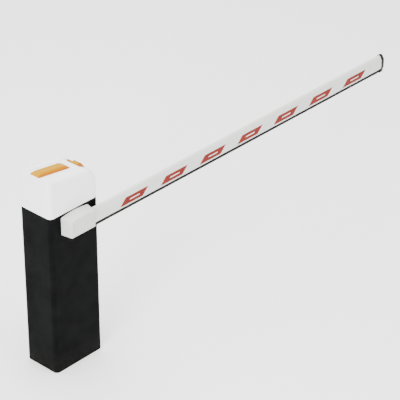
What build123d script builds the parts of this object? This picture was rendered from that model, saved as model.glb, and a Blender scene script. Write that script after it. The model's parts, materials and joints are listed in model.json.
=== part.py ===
from build123d import *
import os
from math import atan2, cos, degrees, pi, radians, sin, tan

os.makedirs("parts", exist_ok=True)

# Parking barrier gate. Millimetres, +Z up, origin on the floor at the centre of the cabinet.
# +X runs along the closed boom, -Y points out of the wide face that carries the boom.

# ---------------------------------------------------------------- driving dimensions
cabinet_width = 300
cabinet_depth = 203
column_height = 844
cabinet_wall = 3
corner_radius = 21
rim_width = 14
body_gap = 0.3
running_gap = 0.05

base_thickness = 10
anchor_spacing_x = 200
anchor_spacing_y = 130
anchor_slot_width = 14
anchor_slot_length = 26
cable_opening_x = 120
cable_opening_y = 70
cable_opening_radius = 12
grommet_lip = 8

door_side_margin = 34
door_sill = 96
door_head = 108
door_gap = 2
door_flange = 7
door_seal_thickness = 3
hinge_barrel_radius = 5
hinge_pin_radius = 2.5
hinge_knuckle = 18
hinge_leaf = 2.5
hinge_inset = 90
lock_radius = 9
lock_plug_radius = 5
lock_rim = 4
lock_inset = 18
cam_length = 28
cam_thickness = 2.7
keeper_width = 14
keeper_height = 40

cap_front_rise = 193
cap_rear_rise = 150
cap_rear_radius = 78
cap_wall = 4
cap_edge_radius = 20
band_width = 108
band_depth = 3.5
stud_inset = 30
stud_radius = 3
stud_height = 18
lens_front_margin = 7
lens_rear_margin = 99
lens_width = 59
lens_rise = 15
lens_corner_radius = 7
lens_crest_taper = 48
lens_crest_shift = 6
lens_crest_width = 40
rear_lens_reach = 52
rear_lens_width = 94
rear_lens_sill = 54
rear_lens_rise = 2
rear_bump_rise = 10
rear_bump_width = 46
rear_bump_inset = 10

hub_clearance = 5
shaft_radius = 17
square_drive = 20
gearbox_left = 76
worm_margin = 27
wheel_margin = 7
chassis_thickness = 6
chassis_width = 220
chassis_height = 240
chassis_drop = 70
nose_radius = 36
bearing_outer_radius = 31
bearing_width = 14
wheel_radius = 45
wheel_width = 16
wheel_teeth = 30
tooth_depth = 5
worm_radius = 13.5
mesh_gap = 0.5
motor_radius = 36
motor_length = 150
motor_fin = 3.5
motor_clearance = 0.5
motor_shaft_radius = 7
rotor_core_radius = 20

crank_radius = 60
crank_thickness = 12
crank_half_width = 12
crank_clearance = 4
crank_pin_radius = 5
roller_radius = 8
buffer_radius = 8
yoke_thickness = 8
stem_width = 30
spring_radius = 18
spring_wire_radius = 3
spring_pitch = 12
spring_drop = 72
spring_bottom = 262
anchor_shelf_top = 190
shelf_thickness = 10
shelf_width = 58
guide_drop = 20
guide_shelf_thickness = 12
tension_rod_radius = 6

panel_left = 16
panel_low = 205
panel_high = 505
panel_clearance = 10.5
panel_sheet = 2

boom_reach = 2200
boom_thickness = 38
boom_height = 76
boom_drop = 40
boom_wall = 2.2
boom_foot_width = 27
lower_bevel = 11
upper_bevel_start = 52
rubber_height = 22
rubber_start = 100
hub_gap = 2
bracket_thickness = 6.5
bracket_half_width = 70
bracket_overhang = 6
clamp_thickness = 3
head_height = 6
head_clearance = 1.3
boom_bolt_spacing_x = 100
boom_bolt_spacing_z = 22
boom_bolt_radius = 5
sticker_length = 150
sticker_margin = 165
sticker_pitch = 270
sticker_count = 7
sticker_height = 38
sticker_thickness = 0.4

cover_side_margin = 16
cover_taper = 11
cover_wall = 3.2
cover_clearance_low = 6
cover_clearance_high = 9
cover_crown = 9
cover_slope = 7

# ---------------------------------------------------------------- places that follow from them
front_face = -cabinet_depth / 2
back_face = cabinet_depth / 2
inner_front = front_face + cabinet_wall
inner_back = back_face - cabinet_wall
inner_side = cabinet_width / 2 - cabinet_wall
door_width = cabinet_width - 2 * door_side_margin
door_height = column_height - door_sill - door_head
cap_front_top = column_height + cap_front_rise
cap_rear_corner = column_height + cap_rear_rise
lens_start = -cabinet_width / 2 + lens_front_margin
lens_length = cabinet_width - lens_front_margin - lens_rear_margin
lens_crest_length = lens_length - lens_crest_taper
rear_lens_start = cabinet_width / 2 - rear_lens_reach
rear_lens_low = column_height + rear_lens_sill
worm_x = wheel_radius + worm_radius + mesh_gap
gearbox_right = worm_x + worm_margin
gearbox_half_height = wheel_radius + wheel_margin
hub_height = column_height - cabinet_wall - hub_clearance - gearbox_half_height
gearbox_depth = 2 * (motor_radius + motor_fin + motor_clearance)
chassis_back = inner_front + chassis_thickness
gearbox_back = chassis_back + gearbox_depth
crank_front = gearbox_back + crank_clearance
crank_back = crank_front + crank_thickness
wheel_y = (chassis_back + gearbox_back) / 2
rest_angle = radians(135)
crank_rise = crank_radius * sin(rest_angle)
yoke_x = -crank_radius * (1 + cos(pi / 4)) / 2
yoke_front = crank_back + 1
yoke_back = yoke_front + yoke_thickness
spring_y = yoke_front + yoke_thickness / 2
guide_shelf_top = hub_height - gearbox_half_height - guide_drop
spring_top = guide_shelf_top - spring_drop
boom_root = bracket_half_width - bracket_overhang
boom_back = front_face - hub_gap - bracket_thickness
boom_front = boom_back - boom_thickness
boom_y = (boom_back + boom_front) / 2
boom_bottom = hub_height - boom_drop
boom_bolt_z = boom_bottom + (lower_bevel + upper_bevel_start) / 2
cover_half_width = bracket_half_width + cover_side_margin
cover_front_half_width = cover_half_width - cover_taper
cover_low = boom_bottom - cover_clearance_low
cover_high = boom_bottom + boom_height + cover_clearance_high
cover_back = front_face - body_gap
cover_front = boom_front - clamp_thickness - head_height - head_clearance - cover_wall
stud_x = cabinet_width / 2 - stud_inset
stud_y = inner_back - rim_width / 2
hinge_x = -door_width / 2 - door_gap
hinge_y = back_face + hinge_barrel_radius + 0.5
hinge_heights = (door_sill + hinge_inset, door_sill + door_height - hinge_inset)
leaf_width = cabinet_width / 2 - corner_radius + hinge_x
lock_x = door_width / 2 - lock_inset
lock_z = door_sill + door_height / 2
lock_length = cabinet_wall + door_flange
panel_y = crank_back + panel_clearance


def facing(y, x=0.0, z=hub_height):
    # Plane that faces out of the boom side: its own x is +X and its own y is +Z.
    return Plane(origin=(x, y, z), x_dir=(1, 0, 0), z_dir=(0, -1, 0))


cap_slope = atan2(cap_front_top - cap_rear_corner, cabinet_width)


def cap_top(x, inset):
    return cap_front_top - (x + cabinet_width / 2) * tan(cap_slope) - inset / cos(cap_slope)


def side_profile(inset, front, low):
    # The edges of the cap's side view, drawn from floor level and inset from its outer skin.
    left = -cabinet_width / 2 + front
    right = cabinet_width / 2 - inset
    high = cap_top(right, inset)
    reach = (cap_rear_radius - inset) * tan((pi / 2 - cap_slope) / 2)
    start = (right - reach * cos(cap_slope), high + reach * sin(cap_slope))
    end = (right, high - reach)
    with BuildLine() as outline:
        Polyline((right, low), (left, low), (left, cap_top(left, inset)), start)
        TangentArc(start, end, tangent=(cos(cap_slope), -sin(cap_slope)))
        Line(end, (right, low))
    return outline.edges()


# ---------------------------------------------------------------- cabinet
with BuildPart() as cabinet_shell:
    with BuildSketch():
        RectangleRounded(cabinet_width, cabinet_depth, corner_radius)
        RectangleRounded(
            2 * inner_side, 2 * inner_back, corner_radius - cabinet_wall, mode=Mode.SUBTRACT
        )
    extrude(amount=column_height)
    with BuildSketch(Plane.XY.offset(column_height - cabinet_wall)):
        RectangleRounded(2 * inner_side, 2 * inner_back, corner_radius - cabinet_wall)
        Rectangle(2 * (inner_side - rim_width), 2 * (inner_back - rim_width), mode=Mode.SUBTRACT)
    extrude(amount=cabinet_wall)
    with BuildSketch(facing(inner_front)):
        Circle(nose_radius + body_gap)
    extrude(amount=2 * cabinet_wall, mode=Mode.SUBTRACT)
    with BuildSketch(facing(inner_back + 2 * cabinet_wall, z=door_sill)):
        Rectangle(door_width + 2 * door_gap, door_height, align=(Align.CENTER, Align.MIN))
    extrude(amount=3 * cabinet_wall, mode=Mode.SUBTRACT)
    with BuildSketch(facing(inner_back, x=door_width / 2 + door_gap, z=lock_z)):
        Rectangle(keeper_width, keeper_height, align=(Align.MIN, Align.CENTER))
    extrude(amount=door_flange)
    with BuildSketch(Plane.XY.offset(column_height)):
        with GridLocations(2 * stud_x, 2 * stud_y, 2, 2):
            Circle(stud_radius)
    extrude(amount=-cabinet_wall, mode=Mode.SUBTRACT)
cabinet_shell.part.label = "cabinet_shell"
export_step(cabinet_shell.part, "parts/cabinet_shell.step")

with BuildPart() as base_plate:
    with BuildSketch():
        RectangleRounded(2 * inner_side, 2 * inner_back, corner_radius - cabinet_wall)
        with GridLocations(anchor_spacing_x, anchor_spacing_y, 2, 2):
            SlotOverall(anchor_slot_length, anchor_slot_width, mode=Mode.SUBTRACT)
        RectangleRounded(cable_opening_x, cable_opening_y, cable_opening_radius, mode=Mode.SUBTRACT)
    extrude(amount=base_thickness)
base_plate.part.label = "base_plate"
export_step(base_plate.part, "parts/base_plate.step")

grommet_corner = 18
grommet_bore_x = cable_opening_x - grommet_lip
grommet_bore_y = cable_opening_y - grommet_lip
with BuildPart() as cable_grommet:
    with BuildSketch(Plane.XY.offset(base_thickness)):
        RectangleRounded(
            cable_opening_x + 2 * grommet_lip, cable_opening_y + 2 * grommet_lip, grommet_corner
        )
        RectangleRounded(grommet_bore_x, grommet_bore_y, grommet_lip, mode=Mode.SUBTRACT)
    extrude(amount=3)
    with BuildSketch(Plane.XY.offset(base_thickness)):
        RectangleRounded(cable_opening_x, cable_opening_y, cable_opening_radius)
        RectangleRounded(grommet_bore_x, grommet_bore_y, grommet_lip, mode=Mode.SUBTRACT)
    extrude(amount=-base_thickness + 2)
cable_grommet.part.label = "cable_grommet"
export_step(cable_grommet.part, "parts/cable_grommet.step")

with BuildPart() as cap_studs:
    with GridLocations(2 * stud_x, 2 * stud_y, 2, 2):
        with Locations((0, 0, column_height - cabinet_wall)):
            Cylinder(
                stud_radius, stud_height + cabinet_wall, align=(Align.CENTER, Align.CENTER, Align.MIN)
            )
    with BuildSketch(Plane.XY.offset(column_height - cabinet_wall)):
        with GridLocations(2 * stud_x, 2 * stud_y, 2, 2):
            RegularPolygon(5.5, 6)
    extrude(amount=-4)
cap_studs.part.label = "cap_studs"
export_step(cap_studs.part, "parts/cap_studs.step")

# ---------------------------------------------------------------- service door in the back face
door_leaf = 24
with BuildPart() as service_door:
    with BuildSketch(facing(back_face, z=door_sill + door_gap)) as door_outline:
        Rectangle(door_width, door_height - 2 * door_gap, align=(Align.CENTER, Align.MIN))
    extrude(amount=cabinet_wall)
    with BuildSketch(facing(inner_back, z=door_sill + door_gap)):
        add(door_outline.sketch_local)
        offset(
            door_outline.sketch_local,
            amount=-cabinet_wall,
            kind=Kind.INTERSECTION,
            mode=Mode.SUBTRACT,
        )
    extrude(amount=door_flange)
    with BuildSketch(facing(inner_back - 1, x=lock_x, z=lock_z)):
        Circle(lock_radius)
    extrude(amount=-2 * cabinet_wall, mode=Mode.SUBTRACT)
    for height in hinge_heights:
        with BuildSketch(Plane.XY.offset(height - hinge_knuckle / 2 + body_gap)):
            with Locations((hinge_x, hinge_y)):
                Circle(hinge_barrel_radius)
            with Locations((hinge_x, back_face)):
                Rectangle(door_leaf, hinge_leaf, align=(Align.MIN, Align.MIN))
            with Locations((hinge_x, hinge_y)):
                Rectangle(hinge_barrel_radius, hinge_y - back_face, align=(Align.MIN, Align.MAX))
                Circle(hinge_pin_radius + running_gap, mode=Mode.SUBTRACT)
            with Locations((hinge_x, back_face)):
                Rectangle(door_gap + 1, 0.5, align=(Align.MIN, Align.MIN), mode=Mode.SUBTRACT)
        extrude(amount=hinge_knuckle - 2 * body_gap)
service_door.part.label = "service_door"
export_step(service_door.part, "parts/service_door.step")

with BuildPart() as hinge_leaves:
    for height in hinge_heights:
        for start in (height - 1.5 * hinge_knuckle, height + hinge_knuckle / 2):
            with BuildSketch(Plane.XY.offset(start)):
                with Locations((hinge_x, back_face)):
                    Rectangle(leaf_width, hinge_leaf, align=(Align.MAX, Align.MIN))
                with Locations((hinge_x, hinge_y)):
                    Circle(hinge_barrel_radius)
                    Rectangle(hinge_barrel_radius, hinge_y - back_face, align=Align.MAX)
                    Circle(hinge_pin_radius, mode=Mode.SUBTRACT)
            extrude(amount=hinge_knuckle)
hinge_leaves.part.label = "hinge_leaves"
export_step(hinge_leaves.part, "parts/hinge_leaves.step")

with BuildPart() as hinge_pins:
    for height in hinge_heights:
        with BuildSketch(Plane.XY.offset(height - 1.5 * hinge_knuckle)):
            with Locations((hinge_x, hinge_y)):
                Circle(hinge_pin_radius)
        extrude(amount=3 * hinge_knuckle)
hinge_pins.part.label = "hinge_pins"
export_step(hinge_pins.part, "parts/hinge_pins.step")

with BuildPart() as lock_housing:
    with BuildSketch(facing(back_face + lock_rim, x=lock_x, z=lock_z)):
        Circle(lock_radius + lock_rim)
        Circle(lock_plug_radius, mode=Mode.SUBTRACT)
    extrude(amount=lock_rim)
    with BuildSketch(facing(back_face, x=lock_x, z=lock_z)):
        Circle(lock_radius)
        Circle(lock_plug_radius, mode=Mode.SUBTRACT)
    extrude(amount=lock_length)
    fillet(lock_housing.edges().group_by(Axis.Y)[-1].sort_by(SortBy.LENGTH)[-1], radius=1.5)
lock_housing.part.label = "lock_housing"
export_step(lock_housing.part, "parts/lock_housing.step")

cam_half_width = 7
with BuildPart() as lock_plug:
    with BuildSketch(facing(back_face + lock_rim - 1, x=lock_x, z=lock_z)):
        Circle(lock_plug_radius - running_gap)
    extrude(amount=lock_rim - 1 + lock_length + body_gap + cam_thickness)
    with BuildSketch(facing(back_face + lock_rim - 1, x=lock_x, z=lock_z)):
        Rectangle(1.2, 5)
    extrude(amount=6, mode=Mode.SUBTRACT)
    with BuildSketch(facing(back_face - lock_length - body_gap, x=lock_x, z=lock_z)):
        Circle(cam_half_width)
        Rectangle(2 * cam_half_width, cam_length, align=(Align.CENTER, Align.MAX))
    extrude(amount=cam_thickness)
lock_plug.part.label = "lock_plug"
export_step(lock_plug.part, "parts/lock_plug.step")

seal_width = door_width + 2 * door_gap + 18
with BuildPart() as door_seal:
    with BuildSketch(facing(inner_back, z=door_sill - 1)):
        Rectangle(seal_width, door_height + 20, align=(Align.CENTER, Align.MIN))
        with Locations((0, 1)):
            Rectangle(
                door_width + 2 * door_gap,
                door_height,
                align=(Align.CENTER, Align.MIN),
                mode=Mode.SUBTRACT,
            )
        with Locations((door_width / 2 + door_gap, door_height / 2 + 1)):
            Rectangle(
                keeper_width + 2,
                keeper_height + 2,
                align=(Align.MIN, Align.CENTER),
                mode=Mode.SUBTRACT,
            )
    extrude(amount=door_seal_thickness)
door_seal.part.label = "door_seal"
export_step(door_seal.part, "parts/door_seal.step")

# ---------------------------------------------------------------- drive unit
with BuildPart() as chassis_plate:
    with BuildSketch(facing(chassis_back)):
        with Locations((0, -chassis_drop)):
            RectangleRounded(chassis_width, chassis_height, 10)
        Circle(nose_radius + body_gap, mode=Mode.SUBTRACT)
    extrude(amount=chassis_thickness)
chassis_plate.part.label = "chassis_plate"
export_step(chassis_plate.part, "parts/chassis_plate.step")

gearbox_middle = (gearbox_right - gearbox_left) / 2
gearbox_width = gearbox_right + gearbox_left
cover_plate = 18
cavity_back = gearbox_back - cover_plate
bolt_inset = 8
bolt_spacing_x = gearbox_width - 2 * bolt_inset
bolt_spacing_z = 2 * gearbox_half_height - 14
gearbox_bolt_radius = 4

with BuildPart() as gearbox_housing:
    with BuildSketch(facing(cavity_back, x=gearbox_middle)):
        RectangleRounded(gearbox_width, 2 * gearbox_half_height, 8)
    extrude(amount=cavity_back - chassis_back)
    with BuildSketch(facing(chassis_back)):
        Circle(nose_radius)
    extrude(amount=chassis_back - front_face)
    with BuildSketch(facing(cavity_back)):
        Circle(wheel_radius + 3)
        with Locations((worm_x, 0)):
            Rectangle(2 * worm_radius + 7, 2 * gearbox_half_height - 24)
    extrude(amount=cavity_back - chassis_back - bearing_width - 2, mode=Mode.SUBTRACT)
    with BuildSketch(facing(chassis_back + bearing_width + 2)):
        Circle(bearing_outer_radius)
    extrude(amount=bearing_width, mode=Mode.SUBTRACT)
    with BuildSketch(facing(chassis_back + 2)):
        Circle(shaft_radius + 6)
    extrude(amount=chassis_back - front_face + 2, mode=Mode.SUBTRACT)
    with BuildSketch(Plane(origin=(worm_x, wheel_y, hub_height - gearbox_half_height))):
        Circle(motor_shaft_radius + 1)
    extrude(amount=12, mode=Mode.SUBTRACT)
    for level in (-gearbox_half_height + 4, gearbox_half_height - 12):
        with BuildSketch(Plane(origin=(worm_x, wheel_y, hub_height + level))):
            Circle(worm_radius + mesh_gap)
        extrude(amount=8, mode=Mode.SUBTRACT)
    with BuildSketch(facing(cavity_back, x=gearbox_middle)):
        with GridLocations(bolt_spacing_x, bolt_spacing_z, 2, 2):
            Circle(gearbox_bolt_radius)
    extrude(amount=cavity_back - chassis_back, mode=Mode.SUBTRACT)
gearbox_housing.part.label = "gearbox_housing"
export_step(gearbox_housing.part, "parts/gearbox_housing.step")

with BuildPart() as gearbox_cover:
    with BuildSketch(facing(gearbox_back, x=gearbox_middle)):
        RectangleRounded(gearbox_width, 2 * gearbox_half_height, 8)
        with GridLocations(bolt_spacing_x, bolt_spacing_z, 2, 2):
            Circle(gearbox_bolt_radius, mode=Mode.SUBTRACT)
    extrude(amount=cover_plate)
    with BuildSketch(facing(cavity_back + 2 + bearing_width)):
        Circle(bearing_outer_radius)
    extrude(amount=bearing_width + 2, mode=Mode.SUBTRACT)
    with BuildSketch(facing(gearbox_back)):
        Circle(shaft_radius + 2)
        with Locations((worm_x - 18, gearbox_half_height - 16)):
            Circle(4 + running_gap)
    extrude(amount=cover_plate, mode=Mode.SUBTRACT)
gearbox_cover.part.label = "gearbox_cover"
export_step(gearbox_cover.part, "parts/gearbox_cover.step")

with BuildPart() as gearbox_bolts:
    with BuildSketch(facing(gearbox_back, x=gearbox_middle)):
        with GridLocations(bolt_spacing_x, bolt_spacing_z, 2, 2):
            Circle(gearbox_bolt_radius)
    extrude(amount=gearbox_back - chassis_back)
    with BuildSketch(facing(gearbox_back + 8, x=gearbox_middle)):
        with GridLocations(bolt_spacing_x, bolt_spacing_z, 2, 2):
            Circle(6.5)
    extrude(amount=8)
    with BuildSketch(facing(gearbox_back + 8, x=gearbox_middle)):
        with GridLocations(bolt_spacing_x, bolt_spacing_z, 2, 2):
            RegularPolygon(3.4, 6)
    extrude(amount=4, mode=Mode.SUBTRACT)
gearbox_bolts.part.label = "gearbox_bolts"
export_step(gearbox_bolts.part, "parts/gearbox_bolts.step")

with BuildPart() as shaft_seal:
    with BuildSketch(facing(chassis_back - 3)):
        Circle(shaft_radius + 6)
        Circle(shaft_radius + 0.1, mode=Mode.SUBTRACT)
    extrude(amount=5)
shaft_seal.part.label = "shaft_seal"
export_step(shaft_seal.part, "parts/shaft_seal.step")

front_bearing_y = chassis_back + 2 + bearing_width / 2
rear_bearing_y = cavity_back + 2 + bearing_width / 2
race_step = (bearing_outer_radius - shaft_radius) / 3
ball_radius = race_step * 0.75
ball_circle = (bearing_outer_radius + shaft_radius) / 2

with BuildPart() as bearing_outer_rings:
    for middle in (front_bearing_y, rear_bearing_y):
        with BuildSketch(facing(middle + bearing_width / 2)):
            Circle(bearing_outer_radius)
            Circle(bearing_outer_radius - race_step, mode=Mode.SUBTRACT)
        extrude(amount=bearing_width)
        with Locations(facing(middle)):
            Torus(ball_circle, ball_radius + 0.1, mode=Mode.SUBTRACT)
bearing_outer_rings.part.label = "bearing_outer_rings"
export_step(bearing_outer_rings.part, "parts/bearing_outer_rings.step")

with BuildPart() as bearing_inner_rings:
    for middle in (front_bearing_y, rear_bearing_y):
        with BuildSketch(facing(middle + bearing_width / 2)):
            Circle(shaft_radius + race_step)
            Circle(shaft_radius, mode=Mode.SUBTRACT)
        extrude(amount=bearing_width)
        with Locations(facing(middle)):
            Torus(ball_circle, ball_radius + 0.1, mode=Mode.SUBTRACT)
bearing_inner_rings.part.label = "bearing_inner_rings"
export_step(bearing_inner_rings.part, "parts/bearing_inner_rings.step")

with BuildPart() as bearing_balls:
    for middle in (front_bearing_y, rear_bearing_y):
        with Locations(facing(middle)):
            with PolarLocations(ball_circle, 12):
                Sphere(ball_radius)
bearing_balls.part.label = "bearing_balls"
export_step(bearing_balls.part, "parts/bearing_balls.step")

with BuildPart() as output_shaft:
    with BuildSketch(facing(crank_back)):
        Circle(shaft_radius)
    extrude(amount=crank_back - front_face + hub_gap)
    with BuildSketch(facing(front_face - hub_gap)):
        Rectangle(square_drive, square_drive)
    extrude(amount=bracket_thickness)
output_shaft.part.label = "output_shaft"
export_step(output_shaft.part, "parts/output_shaft.step")

with BuildPart() as worm_wheel:
    with BuildSketch(facing(wheel_y + wheel_width / 2)):
        Circle(wheel_radius - tooth_depth)
        with PolarLocations(wheel_radius - tooth_depth - 1, wheel_teeth):
            Trapezoid(tooth_depth + 1, 6, 70, rotation=-90, align=(Align.CENTER, Align.MIN))
        Circle(wheel_radius, mode=Mode.INTERSECT)
        Circle(shaft_radius, mode=Mode.SUBTRACT)
        with PolarLocations(28, 6):
            Circle(5, mode=Mode.SUBTRACT)
    extrude(amount=wheel_width)
worm_wheel.part.label = "worm_wheel"
export_step(worm_wheel.part, "parts/worm_wheel.step")

# The motor hangs under the gearbox, with the worm on its shaft.
motor_top = hub_height - gearbox_half_height
motor_bottom = motor_top - motor_length
rotor_low = motor_bottom + 26
rotor_high = motor_top - 34
worm_low = hub_height - gearbox_half_height + 14
worm_high = hub_height + gearbox_half_height - 14


def upright(z):
    return Plane(origin=(worm_x, wheel_y, z))


with BuildPart() as worm:
    with BuildSketch(upright(worm_low)):
        Circle(worm_radius - tooth_depth)
        Circle(motor_shaft_radius, mode=Mode.SUBTRACT)
    extrude(amount=worm_high - worm_low)
    thread_pitch = 2 * pi * wheel_radius / wheel_teeth
    for turn in range(-3, 4):
        with BuildSketch(facing(wheel_y, x=worm_x)):
            with BuildLine():
                middle = (turn + 0.5) * thread_pitch
                Polyline(
                    (motor_shaft_radius + 1, middle - 3),
                    (worm_radius - tooth_depth, middle - 3),
                    (worm_radius, middle - 1.2),
                    (worm_radius, middle + 1.2),
                    (worm_radius - tooth_depth, middle + 3),
                    (motor_shaft_radius + 1, middle + 3),
                    close=True,
                )
            make_face()
        revolve(axis=Axis((worm_x, wheel_y, hub_height), (0, 0, 1)))
worm.part.label = "worm"
export_step(worm.part, "parts/worm.step")

with BuildPart() as motor_rotor:
    with BuildSketch(upright(motor_bottom + 4)):
        Circle(motor_shaft_radius)
    extrude(amount=worm_high + 8 - motor_bottom - 4)
    with BuildSketch(upright(rotor_low)):
        Circle(rotor_core_radius)
    extrude(amount=rotor_high - rotor_low)
motor_rotor.part.label = "motor_rotor"
export_step(motor_rotor.part, "parts/motor_rotor.step")

with BuildPart() as motor_stator:
    with BuildSketch(upright(rotor_low - 6)):
        Circle(motor_radius - 4)
        Circle(rotor_core_radius + 0.5, mode=Mode.SUBTRACT)
    extrude(amount=rotor_high - rotor_low + 12)
motor_stator.part.label = "motor_stator"
export_step(motor_stator.part, "parts/motor_stator.step")

with BuildPart() as motor_housing:
    with BuildSketch(upright(motor_bottom + 12)):
        Circle(motor_radius)
        with PolarLocations(motor_radius, 24):
            Rectangle(7, 2.4)
        Circle(motor_radius - 4, mode=Mode.SUBTRACT)
    extrude(amount=motor_length - 12)
    with BuildSketch(upright(motor_top - 8)):
        Circle(motor_radius - 4)
        Circle(motor_shaft_radius + 1, mode=Mode.SUBTRACT)
    extrude(amount=8)
motor_housing.part.label = "motor_housing"
export_step(motor_housing.part, "parts/motor_housing.step")

with BuildPart() as motor_end_cap:
    with BuildSketch(upright(motor_bottom)):
        Circle(motor_radius + 2)
    extrude(amount=12)
    with BuildSketch(upright(motor_bottom + 12)):
        Circle(motor_shaft_radius + 6)
    extrude(amount=-9, mode=Mode.SUBTRACT)
    fillet(motor_end_cap.edges().group_by(Axis.Z)[0], radius=4)
motor_end_cap.part.label = "motor_end_cap"
export_step(motor_end_cap.part, "parts/motor_end_cap.step")

bush_places = (
    (motor_bottom + 4, motor_shaft_radius + 6, 7),
    (hub_height - gearbox_half_height + 4, worm_radius + mesh_gap, 8),
    (hub_height + gearbox_half_height - 12, worm_radius + mesh_gap, 8),
)
with BuildPart() as rotor_bearings:
    for low, outer, length in bush_places:
        with BuildSketch(upright(low)):
            Circle(outer)
            Circle(motor_shaft_radius + running_gap, mode=Mode.SUBTRACT)
        extrude(amount=length)
rotor_bearings.part.label = "rotor_bearings"
export_step(rotor_bearings.part, "parts/rotor_bearings.step")

with BuildPart() as release_knob:
    with BuildSketch(facing(gearbox_back, x=worm_x - 18, z=hub_height + gearbox_half_height - 16)):
        Circle(4)
    extrude(amount=cover_plate - 2)
    with BuildSketch(facing(gearbox_back + 14, x=worm_x - 18, z=hub_height + gearbox_half_height - 16)):
        SlotOverall(26, 10)
        Circle(8)
    extrude(amount=14 - body_gap)
release_knob.part.label = "release_knob"
export_step(release_knob.part, "parts/release_knob.step")

# ---------------------------------------------------------------- crank, yoke and balance spring
crank_end = (crank_radius * cos(rest_angle), crank_radius * sin(rest_angle))
with BuildPart() as crank_lever:
    with BuildSketch(facing(crank_back)):
        Circle(shaft_radius + 7)
        with Locations(crank_end):
            Circle(crank_half_width)
        with Locations(Location((0, 0, 0), (0, 0, degrees(rest_angle)))):
            Rectangle(crank_radius, 2 * crank_half_width, align=(Align.MIN, Align.CENTER))
        Circle(shaft_radius, mode=Mode.SUBTRACT)
        with Locations(crank_end):
            Circle(crank_pin_radius, mode=Mode.SUBTRACT)
    extrude(amount=crank_thickness)
crank_lever.part.label = "crank_lever"
export_step(crank_lever.part, "parts/crank_lever.step")

with BuildPart() as crank_pin:
    with BuildSketch(facing(yoke_back + 4)):
        with Locations(crank_end):
            Circle(crank_pin_radius)
    extrude(amount=yoke_thickness + 5 + crank_thickness)
    with BuildSketch(facing(yoke_back + 4)):
        with Locations(crank_end):
            Circle(crank_half_width)
    extrude(amount=3)
crank_pin.part.label = "crank_pin"
export_step(crank_pin.part, "parts/crank_pin.step")

with BuildPart() as crank_roller:
    with BuildSketch(facing(yoke_back + 0.5)):
        with Locations(crank_end):
            Circle(roller_radius)
            Circle(crank_pin_radius, mode=Mode.SUBTRACT)
    extrude(amount=yoke_thickness + 1)
crank_roller.part.label = "crank_roller"
export_step(crank_roller.part, "parts/crank_roller.step")

# The drive ties the yoke's fall to the crank's angle in proportion, so the slot has room for
# the difference between that and the crank pin's true height.
yoke_slack = 0.0305 * crank_radius + body_gap
slot_length = crank_radius * (1 - cos(pi / 4)) + 2 * roller_radius + 1
slot_width = 2 * (roller_radius + yoke_slack)
stem_foot = spring_top + 24
with BuildPart() as spring_yoke:
    with BuildSketch(facing(yoke_back, x=yoke_x)):
        with Locations((0, crank_rise)):
            RectangleRounded(slot_length + 14, slot_width + 16, 6)
            SlotOverall(slot_length, slot_width, mode=Mode.SUBTRACT)
        with Locations((0, crank_rise - slot_width / 2 - 4)):
            Rectangle(
                stem_width,
                hub_height + crank_rise - slot_width / 2 - 4 - stem_foot,
                align=(Align.CENTER, Align.MAX),
            )
    extrude(amount=yoke_thickness)
spring_yoke.part.label = "spring_yoke"
export_step(spring_yoke.part, "parts/spring_yoke.step")


def spring_plane(z):
    return Plane(origin=(yoke_x, spring_y, z))


plug_radius = spring_radius - spring_wire_radius - 1
with BuildPart() as spring_top_plug:
    with BuildSketch(spring_plane(spring_top - 30)):
        Circle(plug_radius)
    extrude(amount=30)
    with BuildSketch(spring_plane(spring_top)):
        Circle(spring_radius + spring_wire_radius)
    extrude(amount=8)
    with BuildSketch(spring_plane(spring_top + 8)):
        Rectangle(stem_width - 8, yoke_thickness + 12)
        Rectangle(stem_width - 8, yoke_thickness, mode=Mode.SUBTRACT)
    extrude(amount=34)
    with BuildSketch(spring_plane(spring_top + 8)):
        Rectangle(stem_width - 8, yoke_thickness)
    extrude(amount=stem_foot - spring_top - 8)
    with BuildSketch(facing(spring_y + yoke_thickness, x=yoke_x, z=stem_foot + 9)):
        Circle(4)
    extrude(amount=2 * yoke_thickness, mode=Mode.SUBTRACT)
spring_top_plug.part.label = "spring_top_plug"
export_step(spring_top_plug.part, "parts/spring_top_plug.step")

with BuildPart() as balance_spring:
    with BuildLine():
        coil = Helix(
            spring_pitch,
            spring_top - spring_bottom,
            spring_radius,
            center=(yoke_x, spring_y, spring_bottom),
        )
    with BuildSketch(Plane(origin=coil @ 0, z_dir=coil % 0)):
        Circle(spring_wire_radius)
    sweep(is_frenet=True)
    split(bisect_by=spring_plane(spring_bottom), keep=Keep.TOP)
    split(bisect_by=spring_plane(spring_top), keep=Keep.BOTTOM)
balance_spring.part.label = "balance_spring"
export_step(balance_spring.part, "parts/balance_spring.step")

with BuildPart() as spring_bottom_plug:
    with BuildSketch(spring_plane(spring_bottom)):
        Circle(plug_radius)
    extrude(amount=30)
    with BuildSketch(spring_plane(spring_bottom - 12)):
        Circle(spring_radius + spring_wire_radius)
    extrude(amount=12)
    with BuildSketch(spring_plane(spring_bottom - 12)):
        Circle(tension_rod_radius)
    extrude(amount=24, mode=Mode.SUBTRACT)
spring_bottom_plug.part.label = "spring_bottom_plug"
export_step(spring_bottom_plug.part, "parts/spring_bottom_plug.step")

with BuildPart() as tension_rod:
    with BuildSketch(spring_plane(anchor_shelf_top - 45)):
        Circle(tension_rod_radius)
    extrude(amount=spring_bottom + 12 - anchor_shelf_top + 45)
tension_rod.part.label = "tension_rod"
export_step(tension_rod.part, "parts/tension_rod.step")

nut_height = 9
with BuildPart() as tension_nuts:
    for low in (
        anchor_shelf_top,
        anchor_shelf_top - shelf_thickness - nut_height,
        anchor_shelf_top - shelf_thickness - 2 * nut_height - 2,
    ):
        with BuildSketch(spring_plane(low)):
            RegularPolygon(10.5, 6)
            Circle(tension_rod_radius, mode=Mode.SUBTRACT)
        extrude(amount=nut_height)
tension_nuts.part.label = "tension_nuts"
export_step(tension_nuts.part, "parts/tension_nuts.step")

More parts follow.
